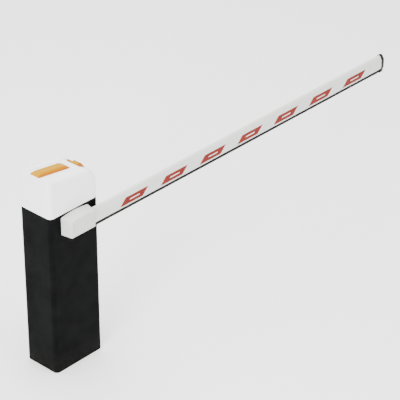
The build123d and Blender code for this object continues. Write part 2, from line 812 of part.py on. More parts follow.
rib_thickness = 6
with BuildPart() as spring_anchor:
    with BuildSketch(Plane.XY.offset(anchor_shelf_top - shelf_thickness)):
        with Locations((yoke_x, inner_front)):
            Rectangle(shelf_width, spring_y + 22 - inner_front, align=(Align.CENTER, Align.MIN))
        with Locations((yoke_x, spring_y)):
            Circle(tension_rod_radius + 0.5, mode=Mode.SUBTRACT)
    extrude(amount=shelf_thickness)
    for side in (-shelf_width / 2, shelf_width / 2 - rib_thickness):
        with BuildSketch(Plane.YZ.offset(yoke_x + side)):
            with BuildLine():
                Polyline(
                    (inner_front, anchor_shelf_top),
                    (inner_front, anchor_shelf_top + 70),
                    (inner_front + 10, anchor_shelf_top + 70),
                    (spring_y - 25, anchor_shelf_top + 12),
                    (spring_y - 25, anchor_shelf_top),
                    close=True,
                )
            make_face()
        extrude(amount=rib_thickness)
spring_anchor.part.label = "spring_anchor"
export_step(spring_anchor.part, "parts/spring_anchor.step")

with BuildPart() as yoke_guide:
    with BuildSketch(Plane.XY.offset(guide_shelf_top - guide_shelf_thickness)):
        with Locations((yoke_x, chassis_back)):
            Rectangle(shelf_width, yoke_back + 10 - chassis_back, align=(Align.CENTER, Align.MIN))
        with Locations((yoke_x, spring_y)):
            Rectangle(
                stem_width + 2 * body_gap, yoke_thickness + 2 * body_gap, mode=Mode.SUBTRACT
            )
    extrude(amount=guide_shelf_thickness)
yoke_guide.part.label = "yoke_guide"
export_step(yoke_guide.part, "parts/yoke_guide.step")

buffer_arm = 35
buffer_offset = crank_half_width + body_gap + buffer_radius
with BuildPart() as stop_buffers:
    for angle, turn in ((rest_angle, -pi / 2), (rest_angle + pi / 2, pi / 2)):
        x = buffer_arm * cos(angle) + buffer_offset * cos(angle + turn)
        z = buffer_arm * sin(angle) + buffer_offset * sin(angle + turn)
        with BuildSketch(facing(crank_back - 1, x=x, z=hub_height + z)):
            Circle(buffer_radius)
        extrude(amount=crank_back - 1 - gearbox_back)
stop_buffers.part.label = "stop_buffers"
export_step(stop_buffers.part, "parts/stop_buffers.step")

disc_thickness = 4
with BuildPart() as limit_disc:
    with BuildSketch(facing(crank_back + disc_thickness)):
        Circle(22)
        with PolarLocations(17, 2, start_angle=45, angular_range=90, endpoint=True):
            Circle(2, mode=Mode.SUBTRACT)
    extrude(amount=disc_thickness)
    with BuildSketch(facing(crank_back + disc_thickness + 4)):
        RegularPolygon(7, 6)
    extrude(amount=4)
limit_disc.part.label = "limit_disc"
export_step(limit_disc.part, "parts/limit_disc.step")

sensor_y = crank_back + disc_thickness + 3
with BuildPart() as limit_sensors:
    with BuildSketch(facing(sensor_y + 1.6, z=hub_height + 22)):
        with Locations((12, 0)):
            Rectangle(46, 18)
    extrude(amount=1.6)
    with BuildSketch(facing(sensor_y + 1.6 + 4, z=hub_height + 22)):
        with Locations((-6, 0), (10, 0), (26, 2)):
            Rectangle(8, 8)
    extrude(amount=4)
    with BuildSketch(facing(sensor_y, x=30, z=hub_height + 22)):
        Circle(4)
    extrude(amount=sensor_y - gearbox_back)
limit_sensors.part.label = "limit_sensors"
export_step(limit_sensors.part, "parts/limit_sensors.step")


# ---------------------------------------------------------------- control gear on its panel
panel_middle = (panel_left + inner_side) / 2
with BuildPart() as control_panel:
    with BuildSketch(facing(panel_y, x=panel_middle, z=(panel_low + panel_high) / 2)):
        Rectangle(inner_side - panel_left, panel_high - panel_low)
    extrude(amount=panel_sheet)
    with BuildSketch(Plane.YZ.offset(inner_side - panel_sheet)):
        with Locations((panel_y, (panel_low + panel_high) / 2)):
            Rectangle(24, panel_high - panel_low, align=(Align.MIN, Align.CENTER))
    extrude(amount=panel_sheet)
    fillet(control_panel.edges().filter_by(Axis.Y).sort_by(Axis.X)[0:2], radius=6)
control_panel.part.label = "control_panel"
export_step(control_panel.part, "parts/control_panel.step")

board_z = 400
board_width = inner_side - panel_left - 19
board_height = 170
chip_blocks = (
    (-36, 62, 30, 22, 16),
    (0, 62, 30, 22, 16),
    (36, 62, 30, 22, 16),
    (-28, 18, 34, 34, 4),
    (26, 20, 26, 20, 9),
    (-34, -30, 24, 18, 12),
    (10, -26, 40, 12, 6),
    (0, -74, 96, 14, 13),
)
with BuildPart() as control_board:
    with BuildSketch(facing(panel_y + 10, x=panel_middle, z=board_z)):
        Rectangle(board_width, board_height)
    extrude(amount=1.6)
    with BuildSketch(facing(panel_y + 8.4, x=panel_middle, z=board_z)):
        with GridLocations(board_width - 12, board_height - 12, 2, 2):
            Circle(3)
    extrude(amount=8.4)
    for x, z, wide, high, rise in chip_blocks:
        with BuildSketch(facing(panel_y + 10 + rise, x=panel_middle + x, z=board_z + z)):
            Rectangle(wide, high)
        extrude(amount=rise)
control_board.part.label = "control_board"
export_step(control_board.part, "parts/control_board.step")

with BuildPart() as run_capacitor:
    with BuildSketch(Plane(origin=(panel_left + 30, panel_y + 20, panel_low + 12))):
        Circle(18)
    extrude(amount=72)
    with BuildSketch(facing(panel_y + 4, x=panel_left + 30, z=panel_low + 48)):
        Rectangle(20, 40)
    extrude(amount=4)
    fillet(run_capacitor.edges().group_by(Axis.Z)[-1], radius=3)
run_capacitor.part.label = "run_capacitor"
export_step(run_capacitor.part, "parts/run_capacitor.step")

transformer_x = inner_side - 43
with BuildPart() as transformer:
    with BuildSketch(facing(panel_y + 44, x=transformer_x, z=panel_low + 46)):
        Rectangle(62, 52)
    extrude(amount=28)
    with BuildSketch(facing(panel_y + 58, x=transformer_x, z=panel_low + 46)):
        RectangleRounded(40, 34, 6)
    extrude(amount=56)
    with BuildSketch(facing(panel_y + 2, x=transformer_x, z=panel_low + 46)):
        Rectangle(78, 30)
    extrude(amount=2)
transformer.part.label = "transformer"
export_step(transformer.part, "parts/transformer.step")

# ---------------------------------------------------------------- top cap, lenses and lamps
lens_middle = lens_start + lens_length / 2
lens_plane = Plane(
    origin=(lens_middle, 0, cap_top(lens_middle, band_depth)),
    x_dir=(cos(cap_slope), 0, -sin(cap_slope)),
    z_dir=(sin(cap_slope), 0, cos(cap_slope)),
)

with BuildPart() as cap_core:
    with BuildSketch(facing(inner_back - 1, z=0)):
        make_face(side_profile(cap_wall + band_depth, cap_wall, column_height - 10))
    extrude(amount=2 * (inner_back - 1))
    sides = cap_core.faces().filter_by(Axis.Y)
    long_edges = [
        edge for face in sides for edge in face.edges()
        if edge.center().Z > column_height - 9 and edge.center().X > -cabinet_width / 2 + 30
    ]
    fillet(long_edges, radius=cap_edge_radius - cap_wall)
    with BuildSketch(Plane.XY.offset(column_height - 10)):
        RectangleRounded(
            cabinet_width - 2 * cap_wall, 2 * (inner_back - 1), corner_radius - cap_wall
        )
    extrude(amount=2 * (cap_front_top - column_height), mode=Mode.INTERSECT)

with BuildPart() as top_cap:
    with BuildSketch(facing(back_face, z=0)):
        make_face(side_profile(0, 0, column_height))
    extrude(amount=cabinet_depth)
    sides = top_cap.faces().filter_by(Axis.Y)
    long_edges = [
        edge for face in sides for edge in face.edges()
        if edge.center().Z > column_height + 1 and edge.center().X > -cabinet_width / 2 + 30
    ]
    fillet(long_edges, radius=cap_edge_radius)
    with BuildSketch(Plane.XY.offset(column_height)):
        RectangleRounded(cabinet_width, cabinet_depth, corner_radius)
    extrude(amount=2 * (cap_front_top - column_height), mode=Mode.INTERSECT)
    with BuildSketch(facing(band_width / 2, z=0)):
        with Locations((0, column_height - 10)):
            Rectangle(cabinet_width + 20, 400, align=(Align.CENTER, Align.MIN))
        make_face(side_profile(band_depth, -20, column_height - 20), mode=Mode.SUBTRACT)
    extrude(amount=band_width, mode=Mode.SUBTRACT)
    add(cap_core.part, mode=Mode.SUBTRACT)
    with BuildSketch(Plane.XY.offset(column_height)):
        with GridLocations(2 * stud_x, 2 * stud_y, 2, 2):
            Circle(8)
        RectangleRounded(cabinet_width - 4, cabinet_depth - 4, corner_radius - 2, mode=Mode.INTERSECT)
        with GridLocations(2 * stud_x, 2 * stud_y, 2, 2):
            Circle(stud_radius + body_gap, mode=Mode.SUBTRACT)
    extrude(amount=stud_height + 6)
    with BuildSketch(lens_plane):
        RectangleRounded(lens_crest_length - 10, lens_crest_width - 10, 6)
    extrude(amount=-2 * cap_wall, mode=Mode.SUBTRACT)
top_cap.part.label = "top_cap"
export_step(top_cap.part, "parts/top_cap.step")

with BuildPart() as lens_top:
    with BuildSketch(lens_plane):
        RectangleRounded(lens_length, lens_width, lens_corner_radius)
    with BuildSketch(lens_plane.offset(lens_rise)):
        with Locations((-lens_crest_shift, 0)):
            RectangleRounded(lens_crest_length, lens_crest_width, lens_corner_radius)
    loft()
lens_top.part.label = "lens_top"
export_step(lens_top.part, "parts/lens_top.step")

with BuildPart() as lens_rear:
    for inset, width, start, low in (
        (-rear_lens_rise, rear_lens_width, rear_lens_start, rear_lens_low),
        (
            -rear_bump_rise,
            rear_bump_width,
            rear_lens_start + rear_bump_inset,
            rear_lens_low + rear_bump_inset,
        ),
    ):
        with BuildSketch(facing(width / 2, z=0)):
            make_face(side_profile(inset, -20, low))
            with Locations((start, low)):
                Rectangle(100, 200, align=(Align.MIN, Align.MIN), mode=Mode.INTERSECT)
            make_face(side_profile(band_depth, -20, low - 10), mode=Mode.SUBTRACT)
        extrude(amount=width)
lens_rear.part.label = "lens_rear"
export_step(lens_rear.part, "parts/lens_rear.step")

board_thickness = 1.6
with BuildPart() as lamp_boards:
    with BuildSketch(lens_plane.offset(-cap_wall)):
        Rectangle(lens_crest_length, lens_crest_width - 4)
    extrude(amount=-board_thickness)
    with BuildSketch(lens_plane.offset(-cap_wall)):
        with GridLocations(22, 14, 6, 2):
            Rectangle(5, 5)
    extrude(amount=2)
    with BuildSketch(Plane.YZ.offset(cabinet_width / 2 - cap_wall - band_depth - board_thickness)):
        with Locations((0, rear_lens_low - 4)):
            Rectangle(50, 40)
    extrude(amount=board_thickness)
    with BuildSketch(Plane.YZ.offset(cabinet_width / 2 - cap_wall - band_depth - board_thickness)):
        with Locations((0, rear_lens_low - 4)):
            with GridLocations(12, 14, 3, 2):
                Rectangle(5, 5)
    extrude(amount=-2)
lamp_boards.part.label = "lamp_boards"
export_step(lamp_boards.part, "parts/lamp_boards.step")

# ---------------------------------------------------------------- boom
half_thick = boom_thickness / 2
half_foot = boom_foot_width / 2
shoulder = 10
shoulder_height = boom_height - 6


def boom_outline(grow=0.0):
    # The profile's cross-section on the YZ plane, from the middle of its foot, or a larger copy.
    top = shoulder + grow
    side = half_thick + grow
    foot = half_foot + grow
    with BuildLine(mode=Mode.PRIVATE) as outline:
        Polyline(
            (-top, shoulder_height),
            (-side, upper_bevel_start),
            (-side, lower_bevel),
            (-foot, -grow),
            (foot, -grow),
            (side, lower_bevel),
            (side, upper_bevel_start),
            (top, shoulder_height),
        )
        ThreePointArc((top, shoulder_height), (0, boom_height + grow), (-top, shoulder_height))
    return outline.edges()


def rubber_outline():
    # The bumper strip's cross-section, hanging below the foot.
    side = half_foot - 0.5
    with BuildLine(mode=Mode.PRIVATE) as outline:
        Polyline(
            (-side + 3, -rubber_height + 4),
            (-side, -4),
            (-side, 0),
            (side, 0),
            (side, -4),
            (side - 3, -rubber_height + 4),
        )
        ThreePointArc(
            (side - 3, -rubber_height + 4), (0, -rubber_height), (-side + 3, -rubber_height + 4)
        )
    return outline.edges()


def across(x):
    # Plane that looks along the boom: its own x is +Y and its own y is +Z from the boom's foot.
    return Plane(origin=(x, boom_y, boom_bottom), x_dir=(0, 1, 0), z_dir=(1, 0, 0))


slot_half_width = 3.2
with BuildPart() as boom_profile:
    with BuildSketch(across(-boom_root)) as section:
        make_face(boom_outline())
        offset(
            section.sketch_local,
            amount=-boom_wall,
            kind=Kind.INTERSECTION,
            mode=Mode.SUBTRACT,
        )
        for height in (lower_bevel, upper_bevel_start):
            with Locations((0, height)):
                Rectangle(boom_thickness - boom_wall, 1.8)
        Rectangle(2 * slot_half_width, 3 * boom_wall, mode=Mode.SUBTRACT)
    extrude(amount=boom_reach + boom_root)
    with BuildSketch(facing(boom_back + 1, z=boom_bolt_z)):
        with GridLocations(boom_bolt_spacing_x, boom_bolt_spacing_z, 2, 2):
            Circle(boom_bolt_radius + 0.2)
    extrude(amount=boom_thickness + 2, mode=Mode.SUBTRACT)
boom_profile.part.label = "boom_profile"
export_step(boom_profile.part, "parts/boom_profile.step")

with BuildPart() as boom_edge_rubber:
    with BuildSketch(across(rubber_start)):
        make_face(rubber_outline())
        with Locations((0, boom_wall / 2)):
            Rectangle(2 * slot_half_width - 0.4, boom_wall)
        with Locations((0, boom_wall + 1.5)):
            Rectangle(12, 3)
        with Locations((0, -rubber_height / 2)):
            Circle(6, mode=Mode.SUBTRACT)
    extrude(amount=boom_reach - rubber_start)
boom_edge_rubber.part.label = "boom_edge_rubber"
export_step(boom_edge_rubber.part, "parts/boom_edge_rubber.step")

end_cap_skirt = 14
end_cap_face = 5
end_cap_lip = 2.4
with BuildPart() as boom_end_cap:
    with BuildSketch(across(boom_reach + end_cap_face)) as end_face:
        make_face(boom_outline())
        make_face(rubber_outline())
        offset(end_face.sketch_local, amount=end_cap_lip + body_gap)
    extrude(amount=-end_cap_face - end_cap_skirt)
    fillet(boom_end_cap.faces().sort_by(Axis.X)[-1].edges(), radius=2)
    with BuildSketch(across(boom_reach)) as end_body:
        make_face(boom_outline())
        make_face(rubber_outline())
        offset(end_body.sketch_local, amount=body_gap)
    extrude(amount=-end_cap_skirt - 1, mode=Mode.SUBTRACT)
    with BuildSketch(across(boom_reach)):
        with Locations((0, (lower_bevel + upper_bevel_start) / 2)):
            Rectangle(boom_thickness - 2 * boom_wall - 1, upper_bevel_start - lower_bevel - 3)
    extrude(amount=-30)
boom_end_cap.part.label = "boom_end_cap"
export_step(boom_end_cap.part, "parts/boom_end_cap.step")

with BuildPart() as boom_root_plug:
    with BuildSketch(across(-boom_root)):
        make_face(boom_outline())
    extrude(amount=-4)
    with BuildSketch(across(-boom_root)):
        with Locations((0, (lower_bevel + upper_bevel_start) / 2)):
            Rectangle(boom_thickness - 2 * boom_wall - 1, upper_bevel_start - lower_bevel - 3)
    extrude(amount=5)
boom_root_plug.part.label = "boom_root_plug"
export_step(boom_root_plug.part, "parts/boom_root_plug.step")

sticker_lean = sticker_height / 2
sticker_z = boom_bolt_z
with BuildPart() as boom_stickers:
    for face_y in (boom_front, boom_back + sticker_thickness):
        for number in range(sticker_count):
            middle = boom_reach - sticker_margin - sticker_length / 2 - number * sticker_pitch
            with BuildSketch(facing(face_y, x=middle, z=sticker_z)):
                Polygon(
                    (-sticker_length / 2 - sticker_lean, -sticker_height / 2),
                    (sticker_length / 2 - sticker_lean, -sticker_height / 2),
                    (sticker_length / 2 + sticker_lean, sticker_height / 2),
                    (-sticker_length / 2 + sticker_lean, sticker_height / 2),
                    align=None,
                )
            extrude(amount=sticker_thickness)
boom_stickers.part.label = "boom_stickers"
export_step(boom_stickers.part, "parts/boom_stickers.step")

cover_screw_x = 55
cover_screw_radius = 2
lug_y = boom_back + bracket_thickness / 2
bracket_low = cover_low + cover_wall + body_gap
bracket_height = 66
with BuildPart() as boom_bracket:
    with BuildSketch(facing(boom_back + bracket_thickness)):
        with Locations((0, -3)):
            RectangleRounded(2 * bracket_half_width, bracket_height, 5)
        for x in (-cover_screw_x, cover_screw_x):
            with Locations((x, bracket_low - hub_height)):
                Rectangle(16, 12, align=(Align.CENTER, Align.MIN))
        Rectangle(square_drive, square_drive, mode=Mode.SUBTRACT)
        with Locations((0, boom_bolt_z - hub_height)):
            with GridLocations(boom_bolt_spacing_x, boom_bolt_spacing_z, 2, 2):
                Circle(boom_bolt_radius, mode=Mode.SUBTRACT)
    extrude(amount=bracket_thickness)
    with BuildSketch(Plane.XY.offset(bracket_low)):
        with Locations((-cover_screw_x, lug_y), (cover_screw_x, lug_y)):
            Circle(cover_screw_radius)
    extrude(amount=12, mode=Mode.SUBTRACT)
boom_bracket.part.label = "boom_bracket"
export_step(boom_bracket.part, "parts/boom_bracket.step")

with BuildPart() as clamp_plate:
    with BuildSketch(facing(boom_front, z=boom_bolt_z)):
        RectangleRounded(132, 38, 5)
        with GridLocations(boom_bolt_spacing_x, boom_bolt_spacing_z, 2, 2):
            Circle(boom_bolt_radius + 0.2, mode=Mode.SUBTRACT)
    extrude(amount=clamp_thickness)
clamp_plate.part.label = "clamp_plate"
export_step(clamp_plate.part, "parts/clamp_plate.step")

with BuildPart() as boom_bolts:
    with BuildSketch(facing(boom_back + bracket_thickness, z=boom_bolt_z)):
        with GridLocations(boom_bolt_spacing_x, boom_bolt_spacing_z, 2, 2):
            Circle(boom_bolt_radius)
    extrude(amount=bracket_thickness + boom_thickness + clamp_thickness)
    with BuildSketch(facing(boom_front - clamp_thickness, z=boom_bolt_z)):
        with GridLocations(boom_bolt_spacing_x, boom_bolt_spacing_z, 2, 2):
            RegularPolygon(8.5, 6)
    extrude(amount=head_height)
boom_bolts.part.label = "boom_bolts"
export_step(boom_bolts.part, "parts/boom_bolts.step")

with BuildPart() as boom_spacers:
    with BuildSketch(facing(boom_back - boom_wall, z=boom_bolt_z)):
        with GridLocations(boom_bolt_spacing_x, boom_bolt_spacing_z, 2, 2):
            Circle(boom_bolt_radius + 2.5)
            Circle(boom_bolt_radius + 0.2, mode=Mode.SUBTRACT)
    extrude(amount=boom_thickness - 2 * boom_wall)
boom_spacers.part.label = "boom_spacers"
export_step(boom_spacers.part, "parts/boom_spacers.step")


def cover_face(half, high, grow):
    # One end of the hub cover's taper, grown outwards by grow; a negative grow gives its inside.
    low = cover_low - grow
    side = half + grow
    top = high + grow
    with BuildLine(mode=Mode.PRIVATE) as outline:
        Polyline((-side, top), (-side, low), (side, low), (side, top))
        ThreePointArc((side, top), (0, top + cover_crown), (-side, top))
    return outline.edges()


exit_clearance = 0.6
with BuildPart() as cover_core:
    with BuildSketch(facing(cover_back, z=0)):
        make_face(cover_face(cover_half_width, cover_high, -cover_wall))
    with BuildSketch(facing(cover_front + cover_wall, z=0)):
        make_face(cover_face(cover_front_half_width, cover_high - cover_slope, -cover_wall))
    loft()

with BuildPart() as hub_cover:
    with BuildSketch(facing(cover_back, z=0)):
        make_face(cover_face(cover_half_width, cover_high, 0))
    with BuildSketch(facing(cover_front, z=0)):
        make_face(cover_face(cover_front_half_width, cover_high - cover_slope, 0))
    loft()
    fillet(hub_cover.faces().sort_by(Axis.Y)[0].edges(), radius=5)
    add(cover_core.part, mode=Mode.SUBTRACT)
    with BuildSketch(across(bracket_half_width)):
        make_face(boom_outline(exit_clearance))
    extrude(amount=40, mode=Mode.SUBTRACT)
    with BuildSketch(Plane.XY.offset(cover_low)):
        with Locations((-cover_screw_x, lug_y), (cover_screw_x, lug_y)):
            Circle(cover_screw_radius)
    extrude(amount=cover_wall, mode=Mode.SUBTRACT)
hub_cover.part.label = "hub_cover"
export_step(hub_cover.part, "parts/hub_cover.step")

with BuildPart() as hub_cover_screws:
    for reach, start, radius in ((14, cover_low, cover_screw_radius), (1.6, cover_low - 1.6, 4)):
        with BuildSketch(Plane.XY.offset(start)):
            with Locations((-cover_screw_x, lug_y), (cover_screw_x, lug_y)):
                Circle(radius)
        extrude(amount=reach)
hub_cover_screws.part.label = "hub_cover_screws"
export_step(hub_cover_screws.part, "parts/hub_cover_screws.step")
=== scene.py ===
import json
import math

import bmesh
import bpy
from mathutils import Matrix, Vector


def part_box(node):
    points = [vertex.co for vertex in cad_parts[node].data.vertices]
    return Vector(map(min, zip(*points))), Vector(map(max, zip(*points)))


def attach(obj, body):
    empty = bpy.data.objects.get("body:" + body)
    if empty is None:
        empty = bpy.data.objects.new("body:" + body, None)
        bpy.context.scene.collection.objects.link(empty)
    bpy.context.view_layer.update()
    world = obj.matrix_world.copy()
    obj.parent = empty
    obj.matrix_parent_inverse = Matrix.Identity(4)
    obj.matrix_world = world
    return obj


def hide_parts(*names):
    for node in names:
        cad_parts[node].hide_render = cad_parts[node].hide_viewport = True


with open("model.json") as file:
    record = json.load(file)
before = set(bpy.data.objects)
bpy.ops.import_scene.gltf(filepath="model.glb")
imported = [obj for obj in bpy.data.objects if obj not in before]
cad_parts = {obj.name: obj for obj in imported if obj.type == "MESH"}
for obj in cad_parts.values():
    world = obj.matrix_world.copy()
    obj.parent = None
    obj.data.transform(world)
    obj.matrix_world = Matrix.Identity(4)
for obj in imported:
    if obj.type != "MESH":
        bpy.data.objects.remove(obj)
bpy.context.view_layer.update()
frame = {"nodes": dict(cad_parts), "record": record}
print("frame loaded:", len(frame["nodes"]), "nodes")


# a shader socket that can be added, scaled and compared like a number
class Wire:
    def __init__(self, shader, socket):
        self.shader = shader
        self.socket = socket

    def sum(self, kind, other):
        node = self.shader.make("ShaderNodeMath", {0: self, 1: other}, operation=kind)
        return Wire(self.shader, node.outputs[0])

    def __add__(self, other):
        return self.sum("ADD", other)

    def __mul__(self, other):
        return self.sum("MULTIPLY", other)

    __radd__ = __add__
    __rmul__ = __mul__

    def __gt__(self, other):
        return self.sum("GREATER_THAN", other)

    def __abs__(self):
        return self.sum("ABSOLUTE", 0.0)

    def between(self, low, high, start=0.0, end=1.0):
        inputs = {"Value": self, "From Min": low, "From Max": high, "To Min": start, "To Max": end}
        node = self.shader.make("ShaderNodeMapRange", inputs)
        return Wire(self.shader, node.outputs[0])


# one material: its nodes, its textures in object space and its links
class Finish:
    def __init__(self, name, **fixed):
        self.material = bpy.data.materials.new(name)
        self.material.use_nodes = True
        self.tree = self.material.node_tree
        self.tree.nodes.clear()
        self.surface = self.make("ShaderNodeBsdfPrincipled", fixed)
        output = self.make("ShaderNodeOutputMaterial", {})
        self.tree.links.new(self.surface.outputs[0], output.inputs[0])
        self.spot = self.make("ShaderNodeTexCoord", {}).outputs["Object"]

    def make(self, kind, inputs, **settings):
        node = self.tree.nodes.new(kind)
        for key, value in settings.items():
            setattr(node, key, value)
        for key, value in inputs.items():
            if isinstance(value, Wire):
                self.tree.links.new(value.socket, node.inputs[key])
            else:
                node.inputs[key].default_value = value
        return node

    def place(self, scale):
        node = self.make("ShaderNodeMapping", {"Vector": Wire(self, self.spot), "Scale": scale})
        return Wire(self, node.outputs[0])

    def axis(self, letter):
        node = self.make("ShaderNodeSeparateXYZ", {0: Wire(self, self.spot)})
        return Wire(self, node.outputs["XYZ".index(letter)])

    def noise(self, size, detail=3.0, rough=0.55, stretch=(1, 1, 1)):
        inputs = {"Vector": self.place(stretch), "Scale": 1 / size, "Detail": detail, "Roughness": rough}
        return Wire(self, self.make("ShaderNodeTexNoise", inputs).outputs[0])

    def cells(self, size, stretch=(1, 1, 1), feature="F1"):
        inputs = {"Vector": self.place(stretch), "Scale": 1 / size}
        return Wire(self, self.make("ShaderNodeTexVoronoi", inputs, feature=feature).outputs[0])

    def bands(self, size, direction="X"):
        perUnit = 20  # the wave texture draws this many bands in one unit at scale 1
        inputs = {"Vector": self.place((1, 1, 1)), "Scale": 1 / (size * perUnit)}
        return Wire(self, self.make("ShaderNodeTexWave", inputs, bands_direction=direction).outputs[1])

    def blend(self, factor, first, second):
        node = self.make("ShaderNodeMix", {0: factor}, data_type="RGBA")
        for socket, value in ((node.inputs[6], first), (node.inputs[7], second)):
            if isinstance(value, Wire):
                self.tree.links.new(value.socket, socket)
            else:
                socket.default_value = (*value, 1)
        return Wire(self, node.outputs[2])

    def colour(self, wire):
        self.tree.links.new(wire.socket, self.surface.inputs["Base Color"])

    def rough(self, wire):
        self.tree.links.new(wire.socket, self.surface.inputs["Roughness"])

    def relief(self, *layers):
        before = None
        for height, distance in layers:
            inputs = {"Height": height, "Distance": distance, "Strength": 1.0}
            if before:
                inputs["Normal"] = before
            before = Wire(self, self.make("ShaderNodeBump", inputs).outputs[0])
        self.tree.links.new(before.socket, self.surface.inputs["Normal"])



# finishes
def powderCoat(name, tone, shine=0.04, grain=0.0011, dustHeight=0.10, dust=(0.09, 0.08, 0.07)):
    look = Finish(name, **{"Specular IOR Level": shine})
    cloud = look.noise(0.09, 4)
    fine = look.noise(grain, 2)
    low = look.axis("Z").between(dustHeight, 0.0) * look.noise(0.02, 5).between(0.35, 0.75)
    warm = tuple(min(1, t * 1.35 + 0.002) for t in tone)
    look.colour(look.blend(low * 0.12, look.blend(cloud.between(0.3, 0.7), tone, warm), dust))
    look.rough(look.noise(0.03, 4).between(0.3, 0.7, 0.40, 0.52) + low * 0.25)
    look.relief((look.cells(grain * 1.6), 0.00006), (fine, 0.00005))
    return look.material


def mouldedPlastic(name, tone, shade, low, high, grain=0.0007, depth=0.00003, coat=0.0, shine=0.5):
    look = Finish(name, **{"Coat Weight": coat, "Coat Roughness": 0.12, "Specular IOR Level": shine})
    cloud = look.noise(0.06, 4).between(0.35, 0.7)
    speck = look.noise(0.004, 2).between(0.62, 0.8)
    look.colour(look.blend(speck * 0.25, look.blend(cloud, tone, shade), shade))
    look.rough(look.noise(0.025, 5).between(0.3, 0.7, low, high))
    look.relief((look.noise(grain, 3), depth), (look.noise(0.05, 2), depth * 6))
    return look.material


def bareMetal(name, tone, shade, low, high, stretch=(1, 1, 1), scratch=0.0009, depth=0.00003):
    look = Finish(name, Metallic=1.0)
    cloud = look.noise(0.018, 5).between(0.3, 0.7)
    line = look.noise(scratch, 3, stretch=stretch)
    look.colour(look.blend(line.between(0.35, 0.7) * 0.5, look.blend(cloud, tone, shade), shade))
    look.rough(line.between(0.3, 0.7, low, high) + cloud * 0.08)
    look.relief((line, depth))
    return look.material


def zincPlate(name):
    look = Finish(name, Metallic=1.0)
    spangle = look.cells(0.006)
    line = look.noise(0.0008, 3)
    tint = look.blend(look.noise(0.03, 3).between(0.35, 0.65), (0.62, 0.63, 0.62), (0.66, 0.62, 0.50))
    look.colour(look.blend(spangle.between(0.0, 0.7) * 0.35, tint, (0.45, 0.46, 0.48)))
    look.rough(spangle.between(0.0, 0.8, 0.30, 0.46))
    look.relief((line, 0.00002), (spangle, 0.00003))
    return look.material


def castMetal(name, tone, shade, metallic=0.85):
    look = Finish(name, Metallic=metallic)
    sand = look.noise(0.0016, 4, 0.7)
    look.colour(look.blend(look.noise(0.03, 4).between(0.3, 0.7), tone, shade))
    look.rough(sand.between(0.3, 0.7, 0.48, 0.66))
    look.relief((sand, 0.00018), (look.noise(0.02, 2), 0.0002))
    return look.material


def softRubber(name, tone, shade):
    look = Finish(name, **{"Specular IOR Level": 0.12})
    cloud = look.noise(0.05, 5).between(0.35, 0.7)
    look.colour(look.blend(cloud, tone, shade))
    look.rough(look.noise(0.01, 4).between(0.3, 0.7, 0.55, 0.72))
    look.relief((look.noise(0.0009, 3), 0.00007), (look.bands(0.0016, "Z"), 0.00004))
    return look.material


def boomCoating(name):
    look = Finish(name, **{"Coat Weight": 0.35, "Coat Roughness": 0.16})
    draw = look.noise(0.0012, 3, stretch=(0.01, 1, 1))  # fine lines drawn along the extrusion
    dirt = look.noise(0.05, 5, stretch=(0.25, 1, 1)).between(0.55, 0.8)
    look.colour(look.blend(dirt * 0.3, (0.60, 0.592, 0.575), (0.52, 0.51, 0.49)))
    look.rough(draw.between(0.3, 0.7, 0.26, 0.38) + dirt * 0.1)
    look.relief((draw, 0.00005), (look.noise(0.0009, 2), 0.00002))
    return look.material


def amberLens(name):
    look = Finish(name, **{"Specular IOR Level": 0.02, "IOR": 1.49})
    # painted light and shade: the crest of the lens is painted light yellow and its sloping sides darker
    # orange
    side = abs(look.axis("Y")).between(0.016, 0.030)
    ribs = look.bands(0.0024, "X")
    litCrestYellow = look.blend(ribs * 0.35, (0.40, 0.205, 0.0), (0.36, 0.16, 0.0))
    look.colour(look.blend(side, litCrestYellow, (0.34, 0.085, 0.0)))
    look.rough(look.noise(0.01, 3).between(0.3, 0.7, 0.12, 0.2))
    look.relief((ribs, 0.00025))
    return look.material


def reflectiveFilm(name, tone, deep):
    look = Finish(name, **{"Specular IOR Level": 0.1})
    comb = look.cells(0.0032, feature="DISTANCE_TO_EDGE")
    wall = comb.between(0.0, 0.09)
    look.colour(look.blend(wall, deep, look.blend(look.noise(0.08, 3).between(0.35, 0.7), tone, deep)))
    look.rough(look.noise(0.015, 3).between(0.3, 0.7, 0.25, 0.38))
    look.relief((wall, 0.00006))
    return look.material


def circuitBoard(name, boardFace=0.0262):
    # green board with its tracks, and dark parts on the side past boardFace
    look = Finish(name, **{"Coat Weight": 0.3, "Coat Roughness": 0.2})
    traces = look.cells(0.006, stretch=(1, 1, 0.35), feature="DISTANCE_TO_EDGE").between(0.0, 0.12)
    depth = look.axis("Y")
    parts = look.cells(0.014).between(0.1, 0.9)
    bodies = look.blend(parts, (0.015, 0.015, 0.017), (0.10, 0.11, 0.12))
    board = look.blend(traces, (0.10, 0.30, 0.12), (0.012, 0.11, 0.04))
    look.colour(look.blend(depth > boardFace, board, bodies))
    look.rough(look.noise(0.005, 3).between(0.3, 0.7, 0.35, 0.5))
    look.relief((traces, 0.0001))
    return look.material


def windingCopper(name):
    look = Finish(name, Metallic=0.8)
    turns = look.bands(0.0011, "Z")
    # painted light and shade: each turn is painted lighter on its round crown and darker in the groove beside
    # the next
    look.colour(look.blend(turns, (0.55, 0.22, 0.08), (0.75, 0.36, 0.15)))
    look.rough(turns.between(0.0, 1.0, 0.3, 0.42))
    look.relief((turns, 0.0003))
    return look.material


